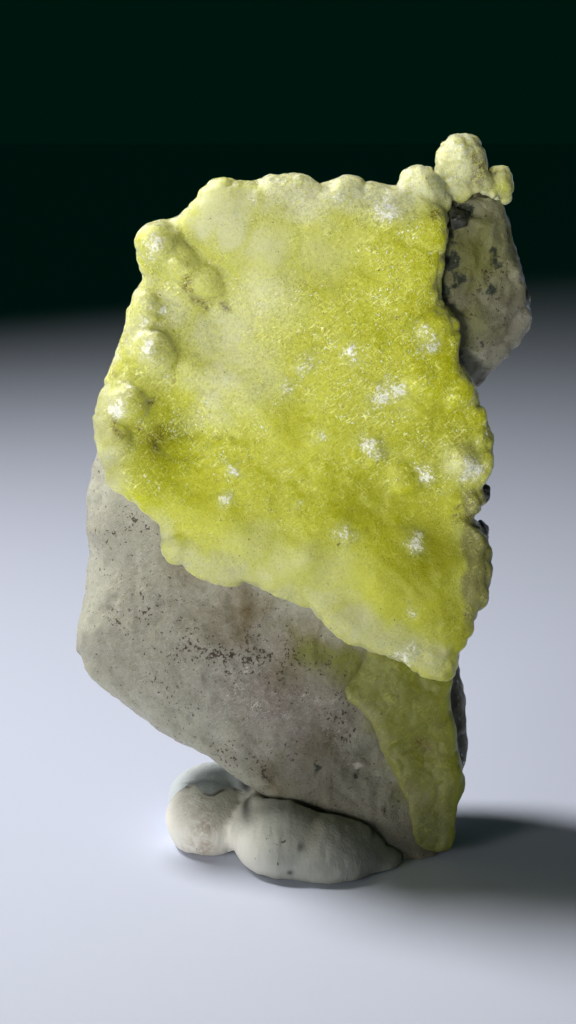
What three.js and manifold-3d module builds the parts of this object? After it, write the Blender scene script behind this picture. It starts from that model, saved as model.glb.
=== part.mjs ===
// A mineral specimen: a yellow brucite crust on a slab of pale speckled rock, stood upright on a
// kneaded wad of putty. Millimetres, +Z up, the crusted front faces -Y.

import * as THREE from 'three';
import { mergeVertices } from 'three/addons/utils/BufferGeometryUtils.js';
import { ImprovedNoise } from 'three/addons/math/ImprovedNoise.js';
import Module from 'manifold-3d';

const wasm = await Module();
wasm.setup();

// ---- Driving dimensions -------------------------------------------------------------------

const LEAN = 0.14;              // how far back the front of the slab leans, per mm of height
const GAP = 0.34;               // clearance kept between pieces that touch
const CRUST_THICKNESS = 3.4;    // how far the main crust stands proud of the rock
const CRUST_RIM = 1.9;          // radius of its rolled edge
const CRUST_ROOT = 5;           // how deep its back reaches into the rock before it is cut
const PATCH_THICKNESS = 0.9;    // how far the lower patch stands proud
const PATCH_RIM = 1.4;
const PATCH_ROOT = 2.4;

// Roughness of each surface: the size of its features and how far they push it in and out.
const SLAB_ROUGHNESS = { grain: 11, bump: 1.1 };
const SHOULDER_ROUGHNESS = { grain: 5, bump: 1 };
const CRUST_WAVES = { grain: 5.5, bump: 0.45 };
const PATCH_WAVES = { grain: 3, bump: 0.2 };
const EDGE_SCALLOPS = { grain: 2.6, bump: 0.3 };
const KNOB_ROUGHNESS = { grain: 2.4, bump: 0.3 };
const CREST_ROUGHNESS = { grain: 2, bump: 0.3 };
const GRAIN_ROUGHNESS = { grain: 1.4, bump: 0.3 };
const PUTTY_ROUGHNESS = { grain: 7, bump: 0.4 };

// Plan sections of the slab, from the pointed foot to the top edge. Each row gives the height, the
// left and right ends, the front and back faces at mid width, and how much the section turns away
// to the back per mm to the right.
const SLAB_STATIONS = [
  { z: 0, left: 8.6, right: 16.4, front: 0.6, back: 5.5, turn: 0.05 },
  { z: 3.4, left: 2, right: 18.2, front: 1.4, back: 9.5, turn: 0.08 },
  { z: 8, left: -5.4, right: 18.9, front: 1.9, back: 13, turn: 0.1 },
  { z: 13.8, left: -15, right: 19.1, front: 2.6, back: 16, turn: 0.1 },
  { z: 18.5, left: -22, right: 18.9, front: 2.9, back: 17.6, turn: 0.1 },
  { z: 23.6, left: -22.5, right: 19.6, front: 3.3, back: 18.4, turn: 0.08 },
  { z: 31, left: -21.5, right: 20, front: 4.4, back: 19, turn: 0.05 },
  { z: 38, left: -21.4, right: 19.4, front: 5.4, back: 19.6, turn: 0.02 },
  { z: 46, left: -18.9, right: 18.4, front: 6.5, back: 20.2, turn: 0 },
  { z: 55, left: -16.4, right: 16.2, front: 7.7, back: 20.4, turn: 0 },
  { z: 62, left: -14.6, right: 14.6, front: 8.7, back: 19.8, turn: 0 },
  { z: 66.4, left: -10.4, right: 13.6, front: 9.6, back: 18.4, turn: 0 },
  { z: 68.8, left: -5.6, right: 11.5, front: 11.2, back: 16.4, turn: 0 },
];
const SLAB_LEVELS = 26;
const SLAB_AROUND = 32;
const SLAB_SQUARENESS = 3;      // 2 is an ellipse, higher is squarer

// Flat breaks on the slab's back, sides and underside: a point on each, and the way it faces.
const SLAB_BREAKS = [
  { at: [0, 18.6, 44], facing: [0.12, 1, 0.1] },
  { at: [-4, 17, 16], facing: [-0.25, 1, -0.75] },
  { at: [-11, 17.6, 58], facing: [-0.75, 0.8, 0.3] },
  { at: [-18.4, 15.4, 34], facing: [-0.8, 0.75, 0] },
  { at: [15.6, 15.6, 24], facing: [0.75, 0.8, -0.25] },
  { at: [2, 16.6, 67], facing: [0.05, 0.55, 1] },
  { at: [-20.4, 9, 19], facing: [-0.75, 0.15, -0.7] },
  { at: [-19.8, 9, 42], facing: [-1, -0.15, 0.35] },
  { at: [18.6, 11, 10], facing: [1, 0.35, 0] },
];

// The part of the rock that stands back at the upper right, behind the crust, and its breaks.
const SHOULDER_LUMPS = [
  { at: [16, 15.6, 57.4], size: [10.4, 6.4, 10.4], detail: 4 },
  { at: [16.4, 14.4, 64], size: [7.4, 5, 7], detail: 3 },
];
const SHOULDER_BREAKS = [
  { at: [22.2, 13, 67], facing: [1, -0.12, 0.3] },
  { at: [23, 15, 51.6], facing: [1, 0.1, -0.82] },
  { at: [19.4, 10.6, 57], facing: [0.35, -1, -0.12] },
  { at: [18, 20.4, 60], facing: [0.3, 1, 0.2] },
  { at: [18, 12.6, 69], facing: [0.1, -0.3, 1] },
];

// Edge of the main crust, seen from the front (x, z), clockwise from its upper left corner.
const CRUST_EDGE = [
  [-14.8, 64.8], [-13.8, 66.2], [-11.6, 66], [-10.1, 67], [-9.2, 68.7], [-7.6, 70.1],
  [-5.5, 70.4], [-3.6, 69.8], [-2.6, 70.1], [-1.6, 71.1], [1.2, 70.8], [3.2, 69.8],
  [5.7, 70.5], [8, 69.9], [10.5, 69.7], [12.9, 69.7], [14.9, 68.4], [16.2, 66.2],
  [15.9, 63.4], [15.4, 61.3], [15, 59.9], [15.5, 58.2], [16.9, 57.1], [17.4, 55.3],
  [17.1, 52.9], [18.2, 50.5], [19.8, 48.2], [20.6, 45.4], [20.9, 42.4], [20.3, 39.9],
  [18.8, 38.3], [19, 36], [20.6, 34.2], [20.9, 31.6], [20.5, 28.3], [19.1, 25],
  [17.5, 22.7], [16.9, 20], [15.5, 19.6], [13.7, 20.5], [12.2, 22.2], [10.4, 22.3],
  [8.3, 23.3], [5.2, 24.9], [2.5, 26.8], [0.4, 28.2], [-1.7, 29], [-4.1, 29.6],
  [-6.6, 29.8], [-9.1, 30.6], [-11.1, 32.1], [-12.8, 33.4], [-13, 35], [-15, 37.5],
  [-17.1, 39.1], [-18.5, 40.7], [-19.4, 43.4], [-19.9, 46.2], [-18.8, 48.9], [-18.1, 51.3],
  [-17.3, 53.5], [-16.6, 56.7], [-16.2, 58.5], [-15, 60.3], [-15.4, 62.6],
];
const CRUST_CENTRE = [1.5, 46.5];
const CRUST_CELLS = 12;         // grid cells from the centre to the edge

// Broad swells (+) and hollows (-) of the main crust's front: place, radius and height. A ridge
// or a trough runs on to a second place.
const CRUST_SWELLS = [
  { at: [-11.8, 59], to: [-7.4, 57], radius: 3, rise: -1.5 },
  { at: [-10.4, 45.2], radius: 4.6, rise: -1.9 },
  { at: [-4.8, 66.6], radius: 5, rise: 0.6 },
  { at: [2.4, 68.4], to: [6.4, 67.2], radius: 3.4, rise: 0.6 },
  { at: [12.6, 64], radius: 3.8, rise: 0.9 },
  { at: [2, 44], to: [9, 50], radius: 5.4, rise: 0.9 },
  { at: [14, 51.6], radius: 4, rise: 0.8 },
  { at: [9.2, 56.4], radius: 3.6, rise: 0.6 },
  { at: [-4, 57], to: [-2, 50], radius: 3.6, rise: -0.6 },
  { at: [-14.6, 42.4], radius: 3.6, rise: 0.8 },
  { at: [-8, 37], to: [-1, 33], radius: 3.8, rise: 0.8 },
  { at: [4, 35], to: [13, 29], radius: 4.6, rise: 0.8 },
  { at: [8, 40], to: [14, 37], radius: 3.4, rise: -0.7 },
  { at: [17.8, 37.4], radius: 3, rise: -0.8 },
];

// Rounded knobs on the main crust: place, half sizes across and up, how far they stand out of the
// front, and how they are turned, in degrees. The first three make the finger at the upper left.
const CRUST_KNOBS = [
  { at: [-12.9, 64.2], size: [2.4, 2.1], out: 1.6, turn: 30 },
  { at: [-10.8, 62.8], size: [3.4, 1.9], out: 1.2, turn: 36 },
  { at: [-8.2, 61], size: [2.8, 1.9], out: 0.9, turn: 40 },
  { at: [-13.6, 53.4], size: [2.7, 2.6], out: 1.3, turn: 0 },
  { at: [-16.1, 48.2], size: [2.1, 2.2], out: 0.9, turn: 0 },
  { at: [-14.6, 57], size: [2, 2.4], out: 0.7, turn: 0 },
  { at: [-17.3, 44.4], size: [2.1, 2.4], out: 0.6, turn: 0 },
  { at: [17.7, 42.7], size: [2.4, 2.2], out: 1, turn: 0 },
  { at: [19.3, 44.4], size: [1.7, 2], out: 0.1, turn: 0 },
  { at: [18.4, 38.3], size: [1.9, 1.9], out: 0.2, turn: 0 },
  { at: [8.4, 44.4], size: [1.9, 1.7], out: 0.5, turn: 0 },
  { at: [14.3, 55.4], size: [2.5, 2.3], out: 0.6, turn: 0 },
  { at: [16.8, 49.2], size: [2.2, 2.4], out: 0.5, turn: 0 },
  { at: [14.7, 22.4], size: [2.2, 1.9], out: 0.4, turn: 35 },
  { at: [-11, 34], size: [2, 1.8], out: 0.4, turn: 0 },
];
const KNOB_DEPTH = 2;           // half size of each knob from front to back
const KNOB_FINE = 2.6;          // knobs wider than this get smaller facets

// The balls of the crest, at the top right where crust and shoulder meet (x, y, z and half sizes).
const CREST_BALLS = [
  { at: [17.5, 12.4, 71.8], size: [2.7, 2.4, 3.1], detail: 2 },
  { at: [17, 12, 69.2], size: [2.1, 2, 2.1], detail: 1 },
  { at: [19.2, 12.6, 69.4], size: [1.9, 2, 2], detail: 1 },
  { at: [21.7, 13.4, 69.6], size: [1.5, 1.6, 2.1], detail: 1 },
  { at: [20.3, 13, 68.4], size: [2.1, 1.9, 1.7], detail: 1 },
  { at: [13.5, 9.8, 69.4], size: [2.4, 2.3, 2.4], detail: 2 },
  { at: [15.2, 10.8, 68.2], size: [1.6, 2, 1.9], detail: 1 },
];

// Edge of the lower patch (x, z), clockwise from where it comes out under the crust's ledge.
const PATCH_EDGE = [
  [2.4, 26.4], [8, 24.6], [13, 22.6], [17, 20], [17, 16.2], [17.8, 13.6], [18.1, 10.6],
  [18.7, 9.4], [18.6, 7.2], [17.8, 5.5], [17.8, 3.7], [17.4, 0.9], [13.6, 0.6], [13.1, 3.3],
  [11.5, 8], [10.1, 11.3], [8.6, 15], [5.6, 17.4], [3.3, 21.3],
];
const PATCH_CENTRE = [12.6, 14.6];
const PATCH_CELLS = 5;
const PATCH_SWELLS = [
  { at: [14.4, 12.3], radius: 1.3, rise: -0.6 },
  { at: [12.4, 6.4], radius: 1.2, rise: -0.35 },
  { at: [16.2, 8], radius: 1.4, rise: 0.3 },
  { at: [12, 18], radius: 2, rise: 0.3 },
];

// Small dark grains of serpentine caught between crust and rock.
const GRAINS = [
  { name: 'serpentine_grain_upper', at: [20, 8, 38.2], size: [1.1, 1.5, 1.4] },
  { name: 'serpentine_grain_lower', at: [20.2, 7.4, 34], size: [1.1, 1.6, 1.6] },
  { name: 'serpentine_grain_crest', at: [16.8, 9.6, 66.4], size: [1.6, 1.2, 1.3] },
];

// Lobes of the putty wad, which is pressed flat where it stands.
const PUTTY_LOBES = [
  { at: [-0.2, 1.7, 2.3], size: [5.8, 7, 4.6], lean: -0.15 },
  { at: [3.6, 1, 1.5], size: [7.2, 6.6, 4.2], lean: -0.3 },
  { at: [8.2, 1.2, 0.4], size: [4.4, 4.4, 2.2], lean: -0.3 },
  { at: [-8.8, 5.4, 2.4], size: [4.6, 5.2, 3.9], lean: -0.1 },
  { at: [-8.4, 10.8, 2.6], size: [5, 5.6, 3.6], lean: 0 },
  { at: [0.4, 9.8, 2.6], size: [9.6, 7, 4.8], lean: 0 },
];
const PUTTY_DETAIL = 3;

// ---- Shape helpers -----------------------------------------------------------------------

const UP = new THREE.Vector3(0, 0, 1);
const BREAK_BLOCK = 90;         // wider than the whole rock
const NOISE_OFFSET = new THREE.Vector3(31, 17, 7);
const perlin = new ImprovedNoise();

// Layered noise: its largest features are `grain` mm across and reach about `bump` mm in and out.
function roughness(point, { grain, bump }, layers = 2) {
  let height = 0;
  let size = grain;
  let weight = bump;
  for (let layer = 0; layer < layers; layer++) {
    const place = new THREE.Vector3(point.x, point.y, point.z).divideScalar(size).add(NOISE_OFFSET);
    height += weight * perlin.noise(place.x, place.y, place.z);
    size /= 2.1;
    weight *= 0.45;
  }
  return height;
}

function unionOf(geometries) {
  let whole = toSolid(geometries[0]);
  for (const geometry of geometries.slice(1)) {
    whole = whole.add(toSolid(geometry));
  }
  return whole;
}

function geometryFrom(positions, triangles) {
  const geometry = new THREE.BufferGeometry();
  geometry.setAttribute('position', new THREE.Float32BufferAttribute(positions, 3));
  geometry.setIndex(triangles);
  return geometry;
}

// The geometry with positions alone, and one vertex where several meet.
function welded(geometry) {
  const bare = geometry.clone();
  bare.deleteAttribute('normal');
  bare.deleteAttribute('uv');
  return mergeVertices(bare, 1e-4);
}

function toSolid(geometry) {
  const merged = welded(geometry);
  return new wasm.Manifold(new wasm.Mesh({
    numProp: 3,
    vertProperties: Float32Array.from(merged.attributes.position.array),
    triVerts: Uint32Array.from(merged.index.array),
  }));
}

function toGeometry(solid) {
  const { vertProperties, triVerts } = solid.getMesh();
  return geometryFrom(Array.from(vertProperties), Array.from(triVerts));
}

// The same closed surface moved outward by `distance`, used to cut clearances.
function swollen(geometry, distance) {
  const merged = welded(geometry);
  merged.computeVertexNormals();
  const { position, normal } = merged.attributes;
  const point = new THREE.Vector3();
  const outward = new THREE.Vector3();
  for (let i = 0; i < position.count; i++) {
    point.fromBufferAttribute(position, i);
    outward.fromBufferAttribute(normal, i);
    point.addScaledVector(outward, distance);
    position.setXYZ(i, point.x, point.y, point.z);
  }
  merged.deleteAttribute('normal');
  return merged;
}

// A roughened ball, turned in the plane of the front by `turn` degrees.
function lump({ at, size, detail, turn = 0 }, texture) {
  const ball = new THREE.IcosahedronGeometry(1, detail);
  ball.scale(...size);
  ball.rotateY(THREE.MathUtils.degToRad(turn));
  ball.translate(...at);
  const geometry = welded(ball);
  const { position } = geometry.attributes;
  const centre = new THREE.Vector3(...at);
  const outward = new THREE.Vector3();
  const point = new THREE.Vector3();
  for (let i = 0; i < position.count; i++) {
    point.fromBufferAttribute(position, i);
    outward.subVectors(point, centre).normalize();
    point.addScaledVector(outward, roughness(point, texture));
    position.setXYZ(i, point.x, point.y, point.z);
  }
  return geometry;
}

// Sum of the swells and hollows at a place on the front.
function relief(swells, x, z) {
  let height = 0;
  for (const { at, to = at, radius, rise } of swells) {
    const distance = distanceToSegment(x, z, at, to) / radius;
    height += rise * Math.exp(-distance * distance);
  }
  return height;
}

function distanceToSegment(x, z, from, to) {
  const run = [to[0] - from[0], to[1] - from[1]];
  const length = Math.hypot(...run) || 1;
  const along = ((x - from[0]) * run[0] + (z - from[1]) * run[1]) / length ** 2;
  const t = THREE.MathUtils.clamp(along, 0, 1);
  return Math.hypot(x - from[0] - t * run[0], z - from[1] - t * run[1]);
}

// ---- Rock --------------------------------------------------------------------------------

// A loft through the plan sections, closed by flat fans at the foot and the top.
function slab() {
  const ends = new THREE.CatmullRomCurve3(
    SLAB_STATIONS.map(({ z, left, right }) => new THREE.Vector3(left, right, z)));
  const faces = new THREE.CatmullRomCurve3(
    SLAB_STATIONS.map(({ z, front, back }) => new THREE.Vector3(front, back, z)));
  const turns = new THREE.CatmullRomCurve3(
    SLAB_STATIONS.map(({ z, turn }) => new THREE.Vector3(turn, 0, z)));
  const positions = [];
  const triangles = [];
  const point = new THREE.Vector3();
  for (let level = 0; level <= SLAB_LEVELS; level++) {
    const t = level / SLAB_LEVELS;
    const { x: left, y: right, z } = ends.getPoint(t);
    const { x: front, y: back } = faces.getPoint(t);
    const turn = turns.getPoint(t).x;
    for (let i = 0; i < SLAB_AROUND; i++) {
      const angle = (i / SLAB_AROUND) * 2 * Math.PI;
      const across = squared(Math.cos(angle));
      const deep = squared(Math.sin(angle));
      const x = (left + right) / 2 + across * (right - left) / 2;
      const y = (front + back) / 2 + deep * (back - front) / 2 + turn * across * (right - left) / 2;
      point.set(x, y, z);
      const bump = roughness(point, SLAB_ROUGHNESS, 3) * Math.min(1, 0.3 + z / 8);
      positions.push(x + across * bump, y + deep * bump, z);
    }
  }
  const around = SLAB_AROUND;
  for (let level = 0; level < SLAB_LEVELS; level++) {
    for (let i = 0; i < around; i++) {
      const next = (i + 1) % around;
      const a = level * around + i;
      const b = level * around + next;
      const c = (level + 1) * around + next;
      const d = (level + 1) * around + i;
      triangles.push(a, b, c, a, c, d);
    }
  }
  const top = SLAB_LEVELS * around;
  const foot = SLAB_STATIONS[0];
  const peak = SLAB_STATIONS[SLAB_STATIONS.length - 1];
  const footCentre = positions.length / 3;
  positions.push((foot.left + foot.right) / 2, (foot.front + foot.back) / 2, foot.z);
  positions.push((peak.left + peak.right) / 2, (peak.front + peak.back) / 2, peak.z + 0.5);
  for (let i = 0; i < around; i++) {
    const next = (i + 1) % around;
    triangles.push(footCentre, next, i);
    triangles.push(footCentre + 1, top + i, top + next);
  }
  return geometryFrom(positions, triangles);
}

function squared(value) {
  return Math.sign(value) * Math.abs(value) ** (2 / SLAB_SQUARENESS);
}

// Everything beyond each break is cut away. A break is a tilted block with its underside on the
// break, moved outward by `distance`.
function broken(solid, breaks, distance) {
  let left = solid;
  for (const { at, facing } of breaks) {
    const outward = new THREE.Vector3(...facing).normalize();
    const block = new THREE.BoxGeometry(BREAK_BLOCK, BREAK_BLOCK, BREAK_BLOCK);
    block.translate(0, 0, BREAK_BLOCK / 2 + distance);
    block.applyQuaternion(new THREE.Quaternion().setFromUnitVectors(UP, outward));
    block.translate(...at);
    left = left.subtract(toSolid(block));
  }
  return left;
}

// The rock as it is at distance 0, or thicker all over by `distance` to cut clearances with.
function rockSolid(distance) {
  const body = broken(toSolid(swollen(slab(), distance)), SLAB_BREAKS, distance);
  const lumps = SHOULDER_LUMPS.map((shoulder) => swollen(lump(shoulder, SHOULDER_ROUGHNESS), distance));
  return body.add(broken(unionOf(lumps), SHOULDER_BREAKS, distance));
}

const rock = rockSolid(0);
const rockCutter = rockSolid(GAP);

// ---- Crusts ------------------------------------------------------------------------------

// A closed skin over an outline: a square grid warped to fill the front, a rolled rim, and a back
// that narrows into the rock. Ring k of the grid is a scaled copy of the outline with 8k points.
function skin({ edge, centre, cells, rim, root, front }) {
  const outline = new THREE.CatmullRomCurve3(
    edge.map(([x, z]) => new THREE.Vector3(x, 0, z)), true, 'centripetal');
  const positions = [centre[0], front(...centre), centre[1]];
  const addRow = (count, reach, back) => {
    for (let i = 0; i < count; i++) {
      const end = outline.getPointAt(i / count);
      const dx = end.x - centre[0];
      const dz = end.z - centre[1];
      const span = Math.hypot(dx, dz);
      const along = reach(span + roughness(end, EDGE_SCALLOPS, 1)) / span;
      const x = centre[0] + dx * along;
      const z = centre[1] + dz * along;
      positions.push(x, front(x, z) + back, z);
    }
  };
  for (let k = 1; k <= cells; k++) {
    addRow(8 * k, (span) => (span - rim) * k / cells, 0);
  }
  const rolls = 3;
  for (let roll = 1; roll <= rolls; roll++) {
    const turn = (roll / rolls) * Math.PI / 2;
    addRow(8 * cells, (span) => span - rim + rim * Math.sin(turn), rim * (1 - Math.cos(turn)));
  }
  addRow(8 * cells, (span) => span - rim * 0.25, rim + root * 0.4);
  addRow(8 * cells, (span) => span - rim * 1.2, rim + root);
  const backCentre = positions.length / 3;
  positions.push(centre[0], front(...centre) + rim + root, centre[1]);

  const triangles = [];
  const addQuad = (a, b, c, d) => {
    if (apart(positions, a, c) < apart(positions, b, d)) {
      triangles.push(a, b, c, a, c, d);
    } else {
      triangles.push(a, b, d, b, c, d);
    }
  };
  const ringPoint = (k, i) => (k === 0 ? 0 : 1 + 4 * k * (k - 1) + (i % (8 * k)));
  for (let k = 1; k <= cells; k++) {
    for (let side = 0; side < 4; side++) {
      const inner = (j) => ringPoint(k - 1, 2 * (k - 1) * side + j);
      const outer = (j) => ringPoint(k, 2 * k * side + j);
      triangles.push(inner(0), outer(1), outer(0));
      for (let j = 0; j < 2 * k - 2; j++) {
        addQuad(inner(j), inner(j + 1), outer(j + 2), outer(j + 1));
      }
      triangles.push(inner(2 * k - 2), outer(2 * k), outer(2 * k - 1));
    }
  }
  const around = 8 * cells;
  const rimStart = ringPoint(cells, 0);
  const rows = rolls + 2;
  for (let i = 0; i < around; i++) {
    const next = (i + 1) % around;
    for (let row = 0; row < rows; row++) {
      const a = rimStart + row * around + i;
      const b = rimStart + row * around + next;
      addQuad(a, b, b + around, a + around);
    }
    const last = rimStart + rows * around;
    triangles.push(backCentre, last + i, last + next);
  }
  return geometryFrom(positions, triangles);
}

function apart(positions, a, b) {
  return Math.hypot(...[0, 1, 2].map((axis) => positions[3 * a + axis] - positions[3 * b + axis]));
}

function slabFront(z) {
  return 1 + LEAN * z;
}

function crustFront(x, z) {
  const waves = roughness({ x, y: 0, z }, CRUST_WAVES);
  return slabFront(z) - CRUST_THICKNESS - relief(CRUST_SWELLS, x, z) - waves;
}

function patchFront(x, z) {
  const waves = roughness({ x, y: 5, z }, PATCH_WAVES);
  return slabFront(z) - PATCH_THICKNESS - relief(PATCH_SWELLS, x, z) - waves;
}

const crustParts = [skin({
  edge: CRUST_EDGE, centre: CRUST_CENTRE, cells: CRUST_CELLS,
  rim: CRUST_RIM, root: CRUST_ROOT, front: crustFront,
})];
for (const { at: [x, z], size: [across, up], out, turn } of CRUST_KNOBS) {
  const y = crustFront(x, z) + KNOB_DEPTH - out;
  const detail = across > KNOB_FINE ? 2 : 1;
  const knob = { at: [x, y, z], size: [across, KNOB_DEPTH, up], detail, turn };
  crustParts.push(lump(knob, KNOB_ROUGHNESS));
}
for (const ball of CREST_BALLS) {
  crustParts.push(lump(ball, CREST_ROUGHNESS));
}
const crust = unionOf(crustParts).subtract(rockCutter);
const crustCutter = unionOf(crustParts.map((geometry) => swollen(geometry, GAP)));

const patchSkin = skin({
  edge: PATCH_EDGE, centre: PATCH_CENTRE, cells: PATCH_CELLS,
  rim: PATCH_RIM, root: PATCH_ROOT, front: patchFront,
});
const patch = toSolid(patchSkin).subtract(rockCutter).subtract(crustCutter);

// ---- Grains ------------------------------------------------------------------------------

const grains = GRAINS.map(({ name, at, size }) => {
  const grain = toSolid(lump({ at, size, detail: 0 }, GRAIN_ROUGHNESS));
  return { name, solid: grain.subtract(rockCutter).subtract(crustCutter) };
});

// ---- Putty -------------------------------------------------------------------------------

function puttyLobe({ at, size, lean }) {
  const geometry = lump({ at, size, detail: PUTTY_DETAIL }, PUTTY_ROUGHNESS);
  const { position } = geometry.attributes;
  for (let i = 0; i < position.count; i++) {
    const rise = position.getZ(i) - at[2];
    position.setX(i, position.getX(i) + lean * rise);
  }
  return geometry;
}

const block = new THREE.BoxGeometry(80, 80, 40);
block.translate(0, 0, 20);
const putty = unionOf(PUTTY_LOBES.map(puttyLobe)).intersect(toSolid(block))
  .subtract(rockCutter).subtract(toSolid(swollen(patchSkin, GAP)));

// ---- Assembly ----------------------------------------------------------------------------

const finishes = {
  rock: new THREE.MeshStandardMaterial({ color: '#9c988b', roughness: 0.6, metalness: 0 }),
  brucite: new THREE.MeshStandardMaterial({ color: '#b5b63c', roughness: 0.32, metalness: 0 }),
  olive: new THREE.MeshStandardMaterial({ color: '#8b8d4a', roughness: 0.4, metalness: 0 }),
  serpentine: new THREE.MeshStandardMaterial({ color: '#22301f', roughness: 0.45, metalness: 0 }),
  putty: new THREE.MeshStandardMaterial({ color: '#989b8f', roughness: 0.85, metalness: 0 }),
};

function piece(name, solid, finish) {
  const mesh = new THREE.Mesh(toGeometry(solid), finishes[finish].clone());
  mesh.name = name;
  return mesh;
}

const specimen = new THREE.Group();
specimen.name = 'brucite_specimen';
specimen.add(piece('matrix_rock', rock, 'rock'));
specimen.add(piece('brucite_crust', crust, 'brucite'));
specimen.add(piece('brucite_lower_crust', patch, 'olive'));
for (const { name, solid } of grains) {
  specimen.add(piece(name, solid, 'serpentine'));
}
specimen.add(piece('putty_wad', putty, 'putty'));

// Origin on the ground, under the middle of the bounding box.
const box = new THREE.Box3().setFromObject(specimen);
const middle = box.getCenter(new THREE.Vector3());
specimen.position.set(-middle.x, -middle.y, -box.min.z);

export default specimen;
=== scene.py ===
"""A mineral specimen: a lemon-yellow brucite crust on pale speckled rock, stood on kneaded putty.

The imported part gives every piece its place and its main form. Here each piece gets its fine
surface and its finish, and the stage, the lights and the camera are set up around it.
Sizes are in millimetres up to the helpers that hand them to Blender, which works in metres.
Seen from the front, x runs to the right, y into the depth and z up.
"""

import itertools
import math

import bmesh
import bpy
import numpy as np
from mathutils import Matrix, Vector


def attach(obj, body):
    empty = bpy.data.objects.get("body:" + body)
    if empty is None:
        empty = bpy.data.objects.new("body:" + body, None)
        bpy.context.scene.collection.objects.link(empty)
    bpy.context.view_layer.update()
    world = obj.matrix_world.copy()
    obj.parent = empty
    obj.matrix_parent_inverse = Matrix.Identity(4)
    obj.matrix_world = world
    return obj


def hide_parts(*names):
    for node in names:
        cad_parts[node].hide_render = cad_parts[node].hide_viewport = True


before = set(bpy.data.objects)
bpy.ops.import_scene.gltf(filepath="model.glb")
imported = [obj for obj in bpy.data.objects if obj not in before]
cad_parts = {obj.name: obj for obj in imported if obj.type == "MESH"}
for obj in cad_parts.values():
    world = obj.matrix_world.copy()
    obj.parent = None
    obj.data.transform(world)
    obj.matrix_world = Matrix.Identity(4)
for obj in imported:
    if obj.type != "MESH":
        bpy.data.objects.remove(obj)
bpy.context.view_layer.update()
MM = 0.001

# ---- Camera -------------------------------------------------------------------------------

AIM = (-1.6, -8.0, 38.3)        # the point in the middle of the view
CAMERA_DISTANCE = 170.7
CAMERA_PITCH = 15               # degrees down from level
LENS = 60
SENSOR = 36                     # along the frame's long side
NEAREST = 10                    # how close to the camera things begin to show


def metres(place):
    return Vector(place) * MM


def show(thing):
    bpy.context.scene.collection.objects.link(thing)


def add_camera():
    pitch = math.radians(CAMERA_PITCH)
    data = bpy.data.cameras.new("camera")
    data.lens = LENS
    data.sensor_width = SENSOR
    data.clip_start = NEAREST * MM
    camera = bpy.data.objects.new("camera", data)
    back = Vector((0, -math.cos(pitch), math.sin(pitch)))
    camera.location = metres(Vector(AIM) + CAMERA_DISTANCE * back)
    camera.rotation_euler = (math.pi / 2 - pitch, 0, 0)
    show(camera)
    bpy.context.scene.camera = camera


# ---- Colours and nodes --------------------------------------------------------------------

EASED = {"interpolation_type": "SMOOTHSTEP"}    # a map range that starts and ends gently
STROKE_STRETCH = 5.5                            # a stroke's length over its width
STROKE_WAVER = 1.3                              # how far strokes stray from their line


def srgb(code):
    """A hex colour as the linear colour, with alpha, that a shader takes."""
    channels = [int(code[i:i + 2], 16) / 255 for i in (1, 3, 5)]
    linear = [c / 12.92 if c <= 0.04045 else ((c + 0.055) / 1.055) ** 2.4 for c in channels]
    return (*linear, 1.0)


def per_metre(size):
    """The scale that makes a pattern's features `size` mm across."""
    return 1 / (size * MM)


def add(tree, kind, inputs=(), **settings):
    """Adds a node, sets it up and fills its sockets, in order or by name.

    A socket takes a value, a link from a socket, or a link from a node's first output. A word
    stands for the mask of that name that `paint` left on the piece's points.
    """
    made = tree.nodes.new("ShaderNode" + kind)
    for name, value in settings.items():
        setattr(made, name, value)
    for socket, value in inputs.items() if isinstance(inputs, dict) else enumerate(inputs):
        if isinstance(value, str):
            value = add(tree, "Attribute", attribute_name=value).outputs["Fac"]
        if isinstance(value, bpy.types.Node):
            value = value.outputs[0]
        if isinstance(value, bpy.types.NodeSocket):
            tree.links.new(value, made.inputs[socket])
        else:
            made.inputs[socket].default_value = value
    return made


def blank_material(name):
    material = bpy.data.materials.new(name)
    material.use_nodes = True
    material.node_tree.nodes.clear()
    return material, material.node_tree


def coated(tree, base, coats):
    """The hex colour `base` under coats of colour, from the lowest up.

    A coat is its hex colour and one or more shares, which multiply to how much of it shows.
    """
    colour = srgb(base)
    for coat, share, *others in coats:
        for other in others:
            share = add(tree, "Math", (share, other), operation="MULTIPLY")
        mixed = add(tree, "Mix", {0: share, 6: colour, 7: srgb(coat)}, data_type="RGBA")
        colour = mixed.outputs[2]
    return colour


def strokes(tree, place, width, slant, low, high):
    """Short fine strokes side by side along a slanted line: 1 on a stroke, 0 between."""
    drawn_out = add(tree, "Mapping", {
        "Vector": place, "Rotation": (0, slant, 0), "Scale": (1, 1, STROKE_STRETCH),
    }, vector_type="TEXTURE")
    grain = add(tree, "TexNoise", {
        "Vector": drawn_out, "Scale": per_metre(width),
        "Detail": 1, "Roughness": 0.5, "Distortion": STROKE_WAVER,
    })
    return add(tree, "MapRange", (grain, low, high), **EASED)


def faceted(tree, cells, tilt, normal, weight):
    """Normals of many tiny crystal faces, each tilted its own way by up to `tilt`."""
    centred = add(tree, "VectorMath", (cells, (0.5, 0.5, 0.5)), operation="SUBTRACT")
    reach = add(tree, "Math", (weight, tilt), operation="MULTIPLY")
    tilted = add(tree, "VectorMath", {0: centred, "Scale": reach}, operation="SCALE")
    turned = add(tree, "VectorMath", (normal, tilted), operation="ADD")
    return add(tree, "VectorMath", (turned,), operation="NORMALIZE")


# ---- Patterns on points -------------------------------------------------------------------

HASH_STRIDES = (73856093, 19349663, 83492791)   # one for each axis
HASH_SEED_STRIDE = 2654435761
HASH_STIR = 0x7FB5D329728EA185
LAYER_SHRINK = 2.07             # just off 2, so that layers of noise don't line up


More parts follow.
